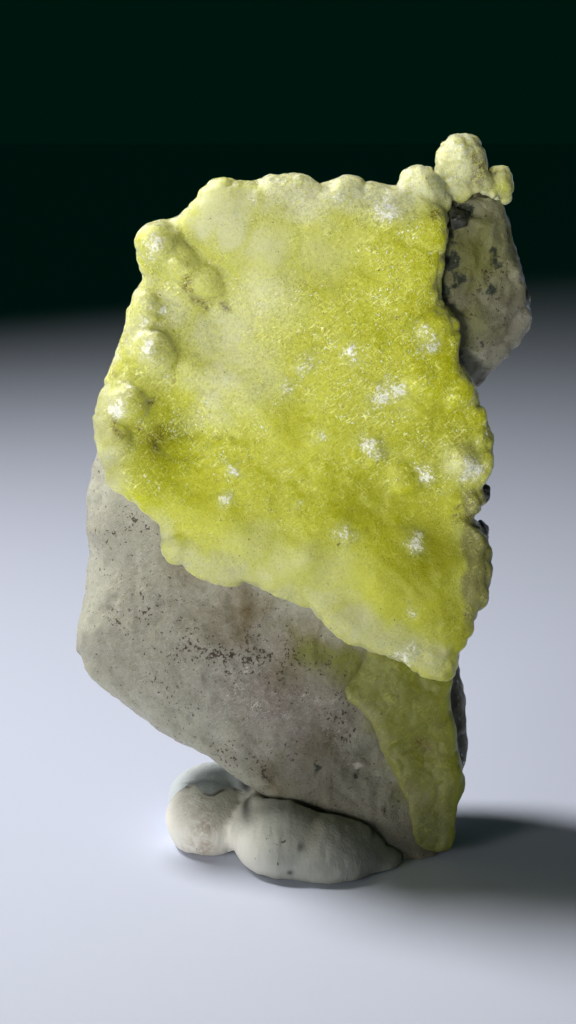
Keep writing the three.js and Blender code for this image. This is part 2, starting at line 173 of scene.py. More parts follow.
def hashed(cells, seed):
    """A number from 0 to 1 for each whole-numbered cell, the same each time."""
    mixed = np.uint64(seed * HASH_SEED_STRIDE)
    for axis, stride in enumerate(HASH_STRIDES):
        mixed = mixed ^ cells[:, axis].astype(np.int64).astype(np.uint64) * np.uint64(stride)
    for _ in range(2):
        mixed = (mixed ^ (mixed >> np.uint64(31))) * np.uint64(HASH_STIR)
    return (mixed >> np.uint64(40)).astype(float) / 2 ** 24


def smooth_noise(places, seed):
    cells = np.floor(places)
    ease = places - cells
    ease = ease * ease * (3 - 2 * ease)
    total = np.zeros(len(places))
    for corner in itertools.product((0, 1), repeat=3):
        weight = np.prod(np.where(corner, ease, 1 - ease), axis=1)
        total += weight * hashed(cells + corner, seed)
    return 2 * total - 1


def layered(points, size, seed, layers=3):
    """Layered noise from about -1 to 1 whose largest features are `size` mm across."""
    total = np.zeros(len(points))
    weight = 1.0
    for layer in range(layers):
        total += weight * smooth_noise(points / size, seed + layer)
        size /= LAYER_SHRINK
        weight /= 2
    return total


def warped(points, size, reach, seed):
    """The points pushed about by noise, so that patterns on them lose their even look."""
    push = [layered(points, size, seed + 10 * axis, 2) for axis in range(3)]
    return points + reach * np.stack(push, axis=1)


def heads(points, spacing, seed, reach=0.8):
    """Round heads about `spacing` mm apart: 0.5 on top of a head, -0.5 in the creases."""
    places = points / spacing
    cells = np.floor(places)
    nearest = np.full(len(points), np.inf)
    for step in itertools.product((-1, 0, 1), repeat=3):
        near = cells + step
        centres = near + np.stack([hashed(near, seed + axis) for axis in range(3)], axis=1)
        nearest = np.minimum(nearest, np.linalg.norm(places - centres, axis=1))
    return np.sqrt(np.clip(1 - (nearest / reach) ** 2, 0, 1)) - 0.5


def spotted(points, spots):
    """How deep in the spots each point is, seen from the front. A spot is x, z, radius, strength."""
    total = np.zeros(len(points))
    for x, z, radius, strength in spots:
        away = np.hypot(points[:, 0] - x, points[:, 2] - z) / radius
        total = np.maximum(total, strength * np.exp(-away ** 2))
    return total


def stepped(values, low, high):
    """Rises gently from 0 at `low` to 1 at `high`."""
    share = np.clip((values - low) / (high - low), 0, 1)
    return share * share * (3 - 2 * share)


# ---- Making pieces ------------------------------------------------------------------------

WELD = 0.001                    # points of a CAD node that are this close are one


def refined(node, name, voxel, smoothing, levels):
    """A dense, even copy of a CAD node's form, in its place, ready to be sculpted."""
    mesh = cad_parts[node].data.copy()
    shell = bmesh.new()
    shell.from_mesh(mesh)
    bmesh.ops.remove_doubles(shell, verts=shell.verts, dist=WELD * MM)
    shell.to_mesh(mesh)
    shell.free()
    rough = bpy.data.objects.new(name + "_rough", mesh)
    show(rough)
    even = rough.modifiers.new("even", "REMESH")
    even.mode = "VOXEL"
    even.voxel_size = voxel * MM
    soft = rough.modifiers.new("soft", "SMOOTH")
    soft.iterations = smoothing
    if levels:
        fine = rough.modifiers.new("fine", "SUBSURF")
        fine.levels = levels
    graph = bpy.context.evaluated_depsgraph_get()
    dense = bpy.data.meshes.new_from_object(rough.evaluated_get(graph))
    bpy.data.objects.remove(rough)
    dense.name = name
    dense.materials.clear()
    if "sharp_face" in dense.attributes:
        dense.attributes.remove(dense.attributes["sharp_face"])
    piece = bpy.data.objects.new(name, dense)
    show(piece)
    dense.shade_smooth()
    return piece


def surface_of(piece):
    """The piece's points, in mm, and its outward normals."""
    mesh = piece.data
    points = np.empty(3 * len(mesh.vertices))
    mesh.vertices.foreach_get("co", points)
    normals = np.empty(3 * len(mesh.vertices))
    mesh.vertex_normals.foreach_get("vector", normals)
    return points.reshape(-1, 3) / MM, normals.reshape(-1, 3)


def reshape(piece, points):
    """Moves the piece's points to these places, but none below the floor."""
    points[:, 2] = np.maximum(points[:, 2], 0)
    piece.data.vertices.foreach_set("co", (points * MM).ravel())
    piece.data.update()


def sculpt(piece, relief):
    """Moves every point along its normal by relief(points, normals), in mm."""
    points, normals = surface_of(piece)
    reshape(piece, points + normals * relief(points, normals)[:, None])


def paint(piece, **masks):
    """Leaves masks from 0 to 1 on the piece's points for its material to read."""
    for name, values in masks.items():
        mask = piece.data.attributes.new(name, "FLOAT", "POINT")
        values = np.clip(np.broadcast_to(values, len(mask.data)), 0, 1)
        mask.data.foreach_set("value", values.astype(np.float32))


def dress(piece, material, slot, *nodes):
    piece.data.materials.append(material)
    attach(piece, "root")
    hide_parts(*nodes)


# ---- Brucite ------------------------------------------------------------------------------

CRUST_VOXEL = 0.24              # fine enough for the smallest heads
LEAN = 0.14                     # how far the crust's front leans back, per mm of height
CRUST_FRONT = -10.4             # where that front would meet the floor
FACING_FRONT = -0.2             # points whose normal's y is below this face the front

# Where the crust is smooth, pale, deep yellow, olive or stained: x, z, radius, strength.
SMOOTH_PLACES = [
    (-8.6, 66.5, 3.6, 1.0), (-3.4, 63.6, 4.2, 1.0), (2.6, 63.2, 3.4, 0.9), (-8.0, 53.5, 4.0, 0.6),
    (-1.4, 45.0, 4.0, 0.8), (-1.0, 33.0, 4.0, 0.7), (5.0, 30.0, 4.5, 0.7), (12.9, 31.0, 4.0, 0.8),
    (3.6, 38.0, 4.0, 0.6), (12.0, 47.5, 3.0, 0.6), (-20.9, 46.5, 2.8, 1.0), (-20.6, 41.8, 2.4, 0.8),
]
PALE_PLACES = [
    (-8.6, 67.2, 3.4, 1.0), (-5.9, 69.0, 2.2, 0.9), (-4.0, 64.4, 3.8, 0.8), (1.6, 63.6, 3.4, 0.5),
    (-7.6, 55.8, 3.8, 1.0), (-8.6, 51.0, 2.8, 1.0), (-4.0, 59.0, 3.6, 0.9), (-13.6, 57.0, 2.6, 0.9),
    (-14.6, 54.6, 1.8, 0.7), (-19.8, 43.8, 1.8, 0.9), (-16.8, 60.5, 2.4, 0.8), (-14.2, 34.6, 1.4, 1.0),
    (-11.8, 32.6, 2.0, 1.0), (-7.5, 31.4, 2.4, 0.9), (-3.6, 31.4, 2.4, 0.8), (-1.4, 28.8, 2.4, 0.9),
    (1.8, 28.4, 2.6, 0.8), (4.8, 25.6, 2.4, 0.9), (8.0, 24.4, 2.2, 0.9), (10.6, 23.4, 2.2, 1.0),
    (13.2, 21.6, 2.2, 0.9), (-5.5, 34.4, 2.8, 0.5), (1.7, 31.6, 3.0, 0.5), (16.9, 42.3, 1.6, 0.9),
    (8.1, 68.2, 1.8, 0.9), (4.1, 69.8, 2.0, 0.6), (12.5, 68.8, 2.0, 0.5), (18.2, 34.0, 2.2, 0.5),
    (-20.9, 47.4, 2.2, 1.2), (-20.9, 43.4, 2.2, 1.2), (-20.2, 39.8, 1.8, 1.0), (16.5, 72.0, 3.6, 0.9),
    (14.4, 59.5, 2.0, 0.3), (-6.9, 53.8, 4.2, 0.8), (-5.4, 50.3, 3.0, 0.7), (-9.9, 55.3, 3.0, 1.0),
    (-13.4, 57.7, 2.6, 1.0), (-15.9, 58.7, 2.4, 1.0), (-17.5, 55.8, 2.2, 1.0), (-9.0, 48.3, 2.4, 1.0),
    (-19.4, 48.8, 2.6, 1.0), (-20.1, 43.8, 2.0, 1.0), (-15.4, 60.2, 2.0, 0.9), (-6.4, 58.7, 2.6, 0.7),
    (-14.5, 52.8, 2.6, 0.7), (0.6, 68.5, 2.6, 0.7), (6.1, 69.0, 2.2, 0.6), (2.6, 67.1, 2.2, 0.5),
    (-1.4, 32.6, 2.6, 0.6), (9.5, 68.0, 2.0, 0.9), (-12.9, 63.6, 2.2, 0.5), (17.8, 33.2, 2.6, 0.4),
    (17.8, 29.6, 2.2, 0.3),
]
DEEP_PLACES = [
    (3.6, 55.8, 4.8, 1.0), (-1.4, 46.8, 4.6, 1.0), (7.6, 63.4, 3.6, 1.0), (-15.6, 38.8, 3.2, 1.0),
    (15.2, 54.0, 2.2, 0.8), (13.2, 50.2, 2.0, 0.6), (-2.4, 68.4, 2.6, 0.5), (8.0, 50.0, 5.0, 0.8),
    (2.0, 41.0, 5.0, 0.8),
]
# Olive zones; the last three darken the right flank as painted shade.
OLIVE_PLACES = [
    (12.9, 32.6, 5.0, 0.9), (12.8, 42.8, 5.0, 0.6), (7.8, 38.0, 4.0, 0.5), (15.0, 26.5, 3.0, 0.8),
    (-12.7, 45.3, 2.0, 0.9), (6.0, 47.6, 2.6, 0.3), (17.8, 32.6, 2.6, 0.7), (17.8, 33.7, 2.4, 1.0),
    (18.0, 29.6, 2.2, 1.0),
]
STAIN_PLACES = [
    (-11.4, 60.3, 0.5, 1.0), (-11.0, 59.5, 0.5, 1.0), (-10.4, 58.4, 0.6, 1.0), (-9.8, 57.4, 0.5, 1.0),
    (-7.7, 57.9, 0.5, 0.8), (-12.4, 61.9, 0.4, 0.6), (-15.6, 44.8, 1.2, 0.7), (-14.8, 46.0, 0.8, 0.6),
    (-15.7, 49.2, 0.45, 1.0), (-18.7, 46.1, 0.4, 0.9), (-12.6, 51.3, 0.35, 0.9), (-18.8, 51.6, 0.3, 1.0),
    (-19.1, 52.6, 0.3, 0.9), (18.4, 71.8, 0.7, 1.0), (18.9, 70.6, 1.0, 1.0), (18.0, 70.1, 0.7, 1.0),
    (19.4, 71.0, 0.6, 0.9), (18.5, 69.5, 0.6, 0.8), (12.2, 67.3, 0.6, 1.5), (16.3, 38.1, 0.4, 1.0),
    (16.2, 36.9, 0.35, 1.0), (16.5, 35.9, 0.3, 0.8),
]
# Where the crust is so thin that the rock greys it.
THIN_PLACES = [
    (-21.0, 46.5, 2.8, 0.6), (-20.7, 41.8, 2.6, 0.6), (-18.9, 55.4, 1.8, 0.4), (-17.2, 60.4, 1.8, 0.4),
]
# Heads with a crust of platelets on top, raised a little and painted with white glints.
FROSTED_HEADS = [
    (8.1, 68.0, 1.3, 1.0), (12.8, 41.3, 0.9, 1.0), (16.9, 42.3, 1.3, 0.9), (11.3, 34.7, 1.0, 1.0),
    (6.9, 44.3, 1.2, 0.9), (1.8, 45.3, 0.9, 0.8), (4.6, 53.8, 1.0, 0.9), (7.7, 49.3, 1.2, 0.7),
    (-15.5, 54.3, 1.3, 1.0), (-15.3, 56.5, 0.6, 0.9), (-14.2, 57.9, 0.7, 0.9), (-18.6, 48.1, 1.2, 1.0),
    (-17.7, 49.8, 0.8, 0.7), (-14.6, 64.6, 1.1, 0.8), (-7.5, 42.2, 0.7, 0.9), (-7.9, 39.1, 0.8, 0.8),
    (9.2, 49.8, 1.1, 0.8), (11.7, 55.8, 0.9, 0.6), (0.1, 52.3, 0.9, 0.6), (-1.9, 50.3, 0.8, 0.6),
    (4.2, 35.7, 1.0, 0.6), (10.4, 22.9, 1.2, 0.7), (11.1, 27.7, 0.8, 0.6), (-0.4, 38.8, 0.7, 0.5),
    (12.7, 54.3, 0.9, 0.8), (15.1, 58.7, 0.7, 0.5), (-19.3, 53.3, 0.8, 1.0), (3.6, 68.5, 0.9, 0.6),
    (-4.9, 68.5, 0.7, 0.5), (15.5, 73.4, 1.2, 0.5),
]
# Where its yellow is at its brightest.
LEMON_PLACES = [
    (8.1, 61.9, 1.4, 0.8), (17.0, 67.4, 1.6, 0.8), (14.6, 54.2, 2.4, 0.8), (13.4, 56.8, 1.8, 0.6),
    (20.4, 69.4, 1.4, 0.7), (13.0, 66.6, 2.0, 0.5),
]
# Places on the crust's front that are pressed in: x, z, radius and depth.
PRESSED_PLACES = [(-12.5, 48.5, 2.4, 0.5), (-13.3, 45.8, 2.0, 0.3)]

# The crust's pale lower edge, from point to point (x, z).
LEDGE = [(-14.7, 34.7), (-6.0, 29.6), (4.8, 25.7), (12.5, 22.1)]
LEDGE_WIDTHS = 0.8, 3.4         # where it starts to fade, and where it is gone

# A smooth grey-white plate at the crust's upper left, as overlapping discs: x, z and radius.
PLATE = [(-8.0, 67.7, 3.3), (-9.9, 66.0, 2.2), (-7.4, 65.8, 2.5), (-5.8, 68.9, 1.8)]
PLATE_EDGE = -1.2, 0.8          # from a disc's rim, where it starts to fade and where it is gone

# The low yellow finger below the plate, from end to end (x, z).
FINGER = ((-13.6, 64.0), (-9.9, 60.0))
FINGER_WIDTHS = 1.6, 3.4        # where its colour starts to fade, and where it is gone
FINGER_REACH = 2.0              # how far its swelling reaches to either side
FINGER_HEIGHT = 0.4

# Domes that stand out of the crust's front, as rounded bars: two ends, half width and height.
DOMES = [
    ((9.9, 41.8), (10.2, 41.0), 1.6, 0.8), ((4.4, 53.8), (5.0, 53.2), 1.7, 0.8),
    ((1.6, 45.6), (2.4, 44.8), 1.7, 0.8), ((7.0, 44.2), (7.4, 43.4), 1.8, 0.9),
    ((8.0, 57.6), (9.4, 57.0), 2.0, 0.8), ((-3.6, 36.6), (-2.6, 36.0), 1.8, 0.8),
]
DOME_SUNK = 0.6                 # the share of a dome's height that is sunk in the front

# Round heads of three sizes cover the crust, from knobs to seeds.
KNOB_SPACING = 3.4
BEAD_SPACING = 1.5
SEED_SPACING = 0.75
SWELL_HEIGHT = 0.35
KNOB_HEIGHT = 0.55
BEAD_HEIGHTS = 0.04, 0.12, 0.2  # everywhere, and added where lively and along the rim
SEED_HEIGHTS = 0.04, 0.05, 0.08
FROST_HEIGHT = 0.2

# From where to where, in mm along x or z, these parts of the crust begin.
TOP = 60, 68                    # the upper part, whose rim is frosted with painted glints
CROWN = 65.5, 69                # the band along the upper edge, painted paler as painted light
RIGHT = 8, 14                   # the right side, whose rim gets less of the painted glow
FLANK = 15.9, 16.7              # the flank at the far right, greyed as painted shade,
FLANK_FOOT = 24, 28             # from here up
FLANK_TOP = 38.5, 41            # to here
UPPER_CRUST = 34, 46            # above this the surface is at its liveliest

# The real platelets and threads are far finer than a tenth of a millimetre. They are drawn as
# coarse as they need to be to show.
BRUCITE_CLOUDS = [
    # size in mm, detail, roughness
    (5.0, 4, 0.55),             # drift: thicker and thinner crust
    (1.6, 5, 0.65),             # mottle: clumps of platelets
    (0.3, 4, 0.75),             # frost: the platelets themselves
    (0.6, 2, 0.5),              # flecks: specks of dirt
]
BRUCITE_THREADS = [
    # width in mm, slant, and the noise where a thread starts and where it is full
    (0.19, 0.9, 0.57, 0.66),    # rising
    (0.16, -0.7, 0.58, 0.67),   # falling
    (0.2, 0.2, 0.42, 0.3),      # the dark gaps between
]
FINE_PLATELET = 0.13
COARSE_PLATELET = 0.3
LIGHT_DEPTH = 2.2               # how far light travels in the crust,
BRUCITE_GLOW = (1, 0.95, 0.3)   # less far in blue, which makes it glow yellow


def away_from_bar(points, start, end):
    """Distance, seen from the front, of each point from the line between two places (x, z)."""
    start, end = np.array(start), np.array(end)
    along = end - start
    across = points[:, (0, 2)] - start
    share = np.clip(across @ along / (along @ along), 0, 1)
    return np.linalg.norm(across - share[:, None] * along, axis=1)


def raise_domes(piece):
    """Draws the front of the crust out to the domes wherever it lies behind them."""
    points, normals = surface_of(piece)
    loose = warped(points, 2.0, 0.4, 60)
    face = CRUST_FRONT + LEAN * points[:, 2]
    for start, end, radius, height in DOMES:
        away = away_from_bar(loose, start, end) / radius
        dome = face + DOME_SUNK * height - height * np.sqrt(np.clip(1 - away ** 2, 0, 1))
        outward = (normals[:, 1] < FACING_FRONT) & (away < 1)
        points[:, 1] = np.where(outward, np.minimum(points[:, 1], dome), points[:, 1])
    reshape(piece, points)


def crust_relief(points, normals):
    """Botryoidal growth: knobs upon knobs, strongest along the rim, with waxy calm between."""
    rim = 1 - stepped(np.abs(normals[:, 1]), 0.35, 0.95)
    calm = spotted(points, SMOOTH_PLACES)
    lively = np.clip(0.35 + 0.65 * layered(points, 8, 3, 2), 0, 1) * (1 - calm)
    lively = np.clip(lively + 0.9 * rim, 0, 1)
    loose = warped(points, 2.6, 0.7, 20)
    knobs = heads(loose, KNOB_SPACING, 31)
    beads = heads(loose, BEAD_SPACING, 32)
    seeds = heads(points, SEED_SPACING, 33)
    finger = np.exp(-(away_from_bar(loose, *FINGER) / FINGER_REACH) ** 2)
    relief = SWELL_HEIGHT * layered(points, 6, 5, 2) + FINGER_HEIGHT * finger
    relief += KNOB_HEIGHT * lively * knobs
    for small_heads, (everywhere, where_lively, on_rim) in ((beads, BEAD_HEIGHTS), (seeds, SEED_HEIGHTS)):
        relief += (everywhere + where_lively * lively + on_rim * rim) * small_heads
    relief += FROST_HEIGHT * spotted(points, FROSTED_HEADS)
    return relief - spotted(points, PRESSED_PLACES)


def threads(tree, place, lively, clump):
    """Bright threads where the crust is lively or clumped, partly its own paler threads and partly
    painted highlight, and the dark gaps between them.
    """
    rising, falling, between = (strokes(tree, place, *lay) for lay in BRUCITE_THREADS)
    either = add(tree, "Math", (rising, falling), operation="MAXIMUM")
    busy = add(tree, "Math", (lively, clump), operation="MAXIMUM")
    lines = add(tree, "Math", (either, busy), operation="MULTIPLY")
    gaps = add(tree, "Math", (between, lively), operation="MULTIPLY")
    return lines, gaps


def platelets(tree, place, frost, lively, clump):
    """Tiny crystal plates: where painted white glints lie on them, where they gleam, and a random colour
    for each.
    """
    fine, coarse = (
        add(tree, "TexVoronoi", {"Vector": place, "Scale": per_metre(size)}).outputs["Color"]
        for size in (FINE_PLATELET, COARSE_PLATELET)
    )
    fine_chance, coarse_chance = (
        add(tree, "SeparateColor", {"Color": cells}).outputs for cells in (fine, coarse)
    )

    clots = add(tree, "Math", (clump, 0.3, frost), operation="MULTIPLY_ADD")
    clots = add(tree, "Math", (lively, 0.045, clots), operation="MULTIPLY_ADD")
    clots = add(tree, "MapRange", (clots, 0.68, 0.74), **EASED)
    dots = add(tree, "Math", (lively, 0.05, fine_chance[1]), operation="MULTIPLY_ADD")
    dots = add(tree, "MapRange", (dots, 1, 1.04), **EASED)
    white = add(tree, "Math", (clots, dots), operation="MAXIMUM")

    small = add(tree, "Math", (lively, 0.4, fine_chance[0]), operation="MULTIPLY_ADD")
    small = add(tree, "MapRange", (small, 0.98, 1.02), **EASED)
    large = add(tree, "Math", (coarse_chance[0], clump), operation="ADD")
    large = add(tree, "MapRange", (large, 0.98, 1.02), **EASED)
    gleam = add(tree, "Math", (small, large), operation="MAXIMUM")
    faces = add(tree, "Mix", {0: large, 6: fine, 7: coarse}, data_type="RGBA").outputs[2]
    return white, gleam, faces


def brucite(name, plain, deep, olive, pale, bright, shine):
    """Brucite, grown as waxy, see-into botryoidal crusts with a frosting of tiny platelets.

    Light sinks a millimetre or two into it and comes back lemon yellow. Fine threads and the
    faces of the platelets catch the light as glints.
    """
    material, tree = blank_material(name)
    place = add(tree, "TexCoord").outputs["Object"]
    drift, mottle, frost, flecks = (
        add(tree, "TexNoise", {
            "Vector": place, "Scale": per_metre(size), "Detail": detail, "Roughness": roughness,
        })
        for size, detail, roughness in BRUCITE_CLOUDS
    )

    stirred = add(tree, "MapRange", (mottle, 0.4, 0.62, 0.3, 1), **EASED)
    lively = add(tree, "Math", (stirred, "lively"), operation="MULTIPLY")
    clotted = add(tree, "MapRange", (mottle, 0.3, 0.55, 0.5, 1), **EASED)
    clump = add(tree, "Math", ("frosted", clotted), operation="MULTIPLY")
    lines, gaps = threads(tree, place, lively, clump)
    white, gleam, faces = platelets(tree, place, frost, lively, clump)
    glints = add(tree, "Math", (gleam, lines), operation="MAXIMUM")

    colour = coated(tree, plain, [
        (deep, add(tree, "MapRange", (drift, 0.35, 0.65), **EASED)),
        (deep, "deep"),
        (olive, "olive"),
        # pale zones, and painted glow along the rims and the upper edge
        (pale, "pale", add(tree, "MapRange", (frost, 0.3, 0.62, 0.7, 1), **EASED)),
        (olive, "lively", add(tree, "MapRange", (frost, 0.5, 0.3, 0, 0.75), **EASED)),
        ("#e4e640", "lively", add(tree, "MapRange", (frost, 0.52, 0.7, 0, 0.55), **EASED)),
        (bright, "lemon", 0.6),
        # grey where the crust is thin, and painted shade on the right flank
        ("#807e50", "thin", 0.85),
        ("#857830", "stain", 0.45),
        ("#4e3810", "stain", add(tree, "MapRange", (frost, 0.42, 0.56), **EASED)),
        ("#3c3410", add(tree, "MapRange", (flecks, 0.73, 0.76), **EASED), 0.8),
        (olive, gaps, 0.8),
        # bright threads, partly painted highlight
        ("#f8f97c", lines, 0.95),
        # painted glints: a pale ground under the clusters, and white dots and clots on the platelets
        ("#cfd1a4", clump, 0.55),
        ("#f6f7ea", white, 0.9),
    ])

    frosted = add(tree, "Bump", {"Strength": 0.8, "Distance": 0.1 * MM, "Height": frost})
    ridged = add(tree, "Bump", {
        "Strength": 0.8, "Distance": 0.05 * MM, "Height": lines, "Normal": frosted,
    })
    shader = add(tree, "BsdfPrincipled", {
        "Base Color": colour,
        "Roughness": 0.4,
        "IOR": 1.57,
        "Specular IOR Level": 0.3,
        "Normal": ridged,
        "Subsurface Weight": 0.8,
        "Subsurface Radius": BRUCITE_GLOW,
        "Subsurface Scale": LIGHT_DEPTH * MM,
        "Coat Weight": add(tree, "MapRange", (glints, 0, 1, 0.05 * shine, shine), **EASED),
        "Coat Roughness": 0.26,
        "Coat IOR": 2.3,
        "Coat Normal": faceted(tree, faces, 1, ridged, gleam),
    })
    add(tree, "OutputMaterial", {"Surface": shader})
    return material


def on_plate(points):
    """1 on the smooth plate, 0 beside it, with a ragged edge."""
    plate = np.zeros(len(points))
    ragged = 0.6 * layered(points, 2.4, 63, 3)
    for x, z, radius in PLATE:
        away = np.hypot(points[:, 0] - x, points[:, 2] - z) + ragged
        fading, gone = (radius + edge for edge in PLATE_EDGE)
        plate = np.maximum(plate, 1 - stepped(away, fading, gone))
    return plate


def on_flank(points):
    """1 on the flank at the far right, greyed as painted shade, 0 beside it."""
    flank = stepped(points[:, 0] + 0.4 * layered(points, 2, 65, 2), *FLANK)
    return flank * (stepped(points[:, 2], *FLANK_FOOT) * (1 - stepped(points[:, 2], *FLANK_TOP)))


def paint_crust(piece):
    points, normals = surface_of(piece)
    loose = warped(points, 3.0, 1.3, 50)
    rim = 1 - stepped(np.abs(normals[:, 1]), 0.3, 0.85)
    right = stepped(points[:, 0], *RIGHT)
    plate = on_plate(points)
    flank = on_flank(points)
    finger = 1 - stepped(away_from_bar(warped(points, 2.5, 0.8, 61), *FINGER), *FINGER_WIDTHS)
    ledge = np.min([away_from_bar(loose, *ends) for ends in zip(LEDGE, LEDGE[1:])], axis=0)
    ledge = 1 - stepped(ledge, *LEDGE_WIDTHS)
    crown = stepped(points[:, 2] + layered(points, 3, 62, 2), *CROWN)

    lemon = np.maximum(spotted(points, LEMON_PLACES), 0.3 * finger)
    smooth = np.maximum(spotted(loose, SMOOTH_PLACES), plate)
    # Besides the pale zones, the paleness along the rims and the upper edge is painted glow.
    pale = np.maximum.reduce([
        0.8 * spotted(loose, PALE_PLACES), (0.9 - 0.2 * right) * rim, 0.6 * ledge, 0.6 * finger, crown,
    ])
    pale *= 1 - 0.5 * flank
    pale = np.maximum(pale * (1 - plate), 0.75 * plate)
    height = stepped(points[:, 2] + 3 * layered(points, 9, 64, 2), *UPPER_CRUST)
    lively = (1 - 0.85 * smooth) * (1 - 0.35 * pale) * (0.4 + 0.6 * height)
    crumbs = spotted(warped(points, 1.4, 0.8, 55), FROSTED_HEADS)
    paint(
        piece,
        pale=pale * (1 - 0.6 * lemon),
        lively=np.maximum(lively, 0.8 * finger),
        deep=spotted(loose, DEEP_PLACES),
        olive=spotted(loose, OLIVE_PLACES),
        # thin places, and the right flank greyed as painted shade
        thin=np.maximum.reduce([spotted(loose, THIN_PLACES), 0.25 * ledge, flank]),
        stain=spotted(loose, STAIN_PLACES),
        lemon=lemon,
        # clusters of painted white glints on the heads and along the upper rim
        frosted=np.maximum(crumbs, 0.35 * stepped(points[:, 2], *TOP) * rim),
    )


def make_crust():
    piece = refined("brucite_crust", "brucite_crust_surface", CRUST_VOXEL, 8, 0)
    raise_domes(piece)
    sculpt(piece, crust_relief)
    paint_crust(piece)
    waxy_brucite = brucite(
        "waxy_brucite", plain="#c0c30c", deep="#bbbe00", olive="#959803", pale="#d6d8b8",
        bright="#c8cb1c", shine=1.0,
    )
    dress(piece, waxy_brucite, "brucite", "brucite_crust")


# ---- Lower crust --------------------------------------------------------------------------

PATCH_VOXEL = 0.4
PATCH_TOP = 24.4                # the height at which its top edge runs
PATCH_LEFT = 0.2, 24            # the upper end of its left edge (x, z)
PATCH_SLOPE = 0.54              # how far that edge runs to the right, per mm down
SQUARE_ON = 0.88                # turns a distance along x into one square to that edge
PATCH_CORNER = [(3.8, 21.2, 2.4, 1.0)]     # where the patch dies away into the rock
CORNER_SUNK = 2.4
# Dark spots on the patch.
PATCH_DARK = [(12.3, 12.8, 0.6, 1.0), (13.0, 12.1, 0.5, 1.0)]


def inside_patch(points):
    """How far, in mm, each point is in from the patch's ragged left and top edges."""
    x, z = PATCH_LEFT
    ragged = points[:, 0] + 1.6 * layered(points, 3.0, 74, 3)
    from_left = SQUARE_ON * (ragged - x - PATCH_SLOPE * (z - points[:, 2]))
    return np.minimum(from_left, PATCH_TOP - points[:, 2]) - 1.5 * spotted(points, PATCH_CORNER)


def patch_relief(points, normals):
    loose = warped(points, 2.0, 0.5, 70)
    sunk = 1 - stepped(inside_patch(points), -0.5, 1.2)
    return (0.2 * layered(points, 4, 71, 2) + 0.22 * heads(loose, 1.8, 72)
            + 0.1 * heads(points, 0.8, 73) - 0.8 * sunk)


def tuck_in_corner(piece):
    """Sinks the patch's corner into the rock behind it."""
    points, _ = surface_of(piece)
    points[:, 1] += CORNER_SUNK * spotted(points, PATCH_CORNER)
    reshape(piece, points)


def make_patch():
    piece = refined("brucite_lower_crust", "lower_crust_surface", PATCH_VOXEL, 4, 1)
    sculpt(piece, patch_relief)
    tuck_in_corner(piece)
    points, normals = surface_of(piece)
    edge = 1 - stepped(inside_patch(points), 0.5, 4.5)
    paint(
        piece,
        pale=0.9 * edge * stepped(points[:, 2], 4, 10) * (1 - stepped(points[:, 2], 15, 20)),
        deep=0.3,
        # olive: painted shade, darker toward the bottom
        olive=stepped(points[:, 2], 12, 2),
        stain=spotted(points, PATCH_DARK),
        # lemon: painted glow along the rim that faces right
        lemon=stepped(normals[:, 0], 0.1, 0.7),
        lively=0.15,
        frosted=0,
        thin=0,
    )
    thin_brucite = brucite(
        "thin_brucite", plain="#72762e", deep="#787b22", olive="#646838", pale="#8a8668",
        # bright: the colour of the painted glow along the right rim
        bright="#bcc24e", shine=0.3,
    )
    dress(piece, thin_brucite, "brucite_thin", "brucite_lower_crust")


# ---- Rock ---------------------------------------------------------------------------------

ROCK_VOXEL = 0.6
BREAK = 11, 14                  # right of this, and
BREAK_HEIGHT = 40, 47           # above this, the rock is freshly broken

# Where the rock is brown, rosy, specked, green, darkened by painted shade, washed with olive,
# or rayed with white sprays, veins and painted glints: x, z, radius, strength.
BROWN_PLACES = [
    (-5.6, 26.6, 3.4, 1.0), (0.6, 23.6, 3.4, 0.9), (-1.5, 21.0, 3.0, 0.6), (-3.0, 8.9, 2.0, 0.8),
    (-12.0, 31.5, 2.4, 0.5), (5.0, 20.0, 3.0, 0.8), (16.5, 64.0, 5.0, 0.5), (15.5, 57.0, 4.0, 0.5),
    (2.0, 12.5, 2.2, 0.6),
]
ROSY_PLACES = [(-3.0, 17.5, 5.5, 1.0), (0.5, 14.0, 4.5, 0.9), (-7.0, 21.5, 4.0, 0.6)]
SPECKED_PLACES = [
    (-9.2, 22.8, 2.0, 1.0), (-7.2, 21.7, 1.8, 1.0), (-5.1, 20.3, 1.6, 0.9), (-11.9, 23.3, 2.0, 0.9),
    (-5.6, 23.3, 2.0, 0.9), (-0.9, 22.2, 1.8, 0.9), (-16.0, 27.5, 1.8, 0.7), (-19.2, 25.4, 1.4, 0.6),
    (-16.4, 35.8, 1.4, 0.8), (-20.1, 33.8, 1.2, 0.6), (-3.5, 8.9, 1.0, 1.0), (-0.9, 11.1, 1.0, 0.9),
    (2.8, 16.4, 1.4, 0.7), (4.9, 14.8, 1.2, 0.7), (-7.7, 11.1, 1.4, 0.6), (-11.4, 16.9, 1.4, 0.6),
    (-15.1, 18.0, 1.2, 0.5), (4.5, 1.9, 1.2, 0.5), (18.1, 58.2, 2.0, 0.6), (20.1, 61.2, 2.0, 0.6),
    (19.3, 54.0, 1.6, 0.4), (21.8, 55.1, 1.4, 0.5),
]
GREEN_PLACES = [
    (14.6, 68.0, 1.0, 1.0), (15.6, 66.9, 1.3, 1.0), (16.6, 67.1, 0.8, 0.9), (14.4, 66.1, 0.8, 0.9),
    (15.1, 62.0, 1.5, 1.0), (16.0, 60.4, 1.3, 1.0), (14.2, 59.0, 1.2, 1.0), (14.0, 57.9, 0.9, 1.0),
    (16.1, 52.1, 1.0, 1.0), (19.2, 59.3, 0.9, 1.0), (18.1, 59.2, 0.6, 0.8), (19.7, 63.3, 0.9, 0.9),
    (20.2, 62.0, 0.8, 0.8), (14.8, 65.0, 1.2, 0.9), (17.3, 58.2, 0.6, 0.6), (20.2, 58.2, 0.5, 0.7),
    (1.5, 10.0, 0.8, 1.0), (5.5, 9.0, 0.6, 0.9), (-0.8, 11.2, 0.7, 0.5),
]
